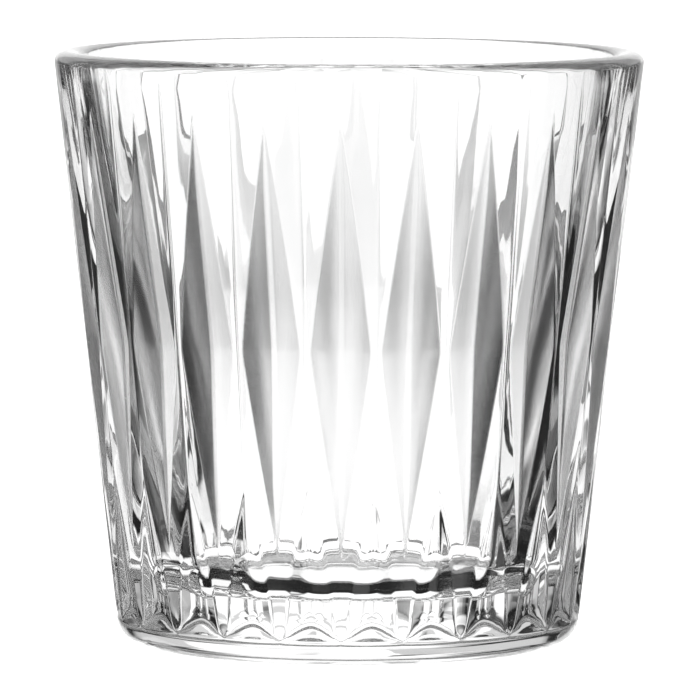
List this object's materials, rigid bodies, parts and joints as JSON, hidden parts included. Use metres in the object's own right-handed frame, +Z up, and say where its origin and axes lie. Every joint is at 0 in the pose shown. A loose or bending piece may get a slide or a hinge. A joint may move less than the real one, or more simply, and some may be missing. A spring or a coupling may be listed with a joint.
{
  "type": "whisky tumbler",
  "caption": "Short clear glass tumbler with a tapered wall, a thick base, and a ring of long diamond cuts above short wedge cuts; it holds a drink and stands on its foot.",
  "frame": {"origin": "centre of the foot, on the plane that the glass stands on", "axes": "+Z up along the axis of the glass, from the foot to the lip; the middle of a diamond cut lies on -Y"},
  "size_m": [0.09, 0.09, 0.0905],
  "materials": {
    "clear_glass": "fire-polished clear soda-lime glass, colourless"
  },
  "bodies": {
    "root": {"tumbler": "clear_glass"}
  },
  "joints": []
}
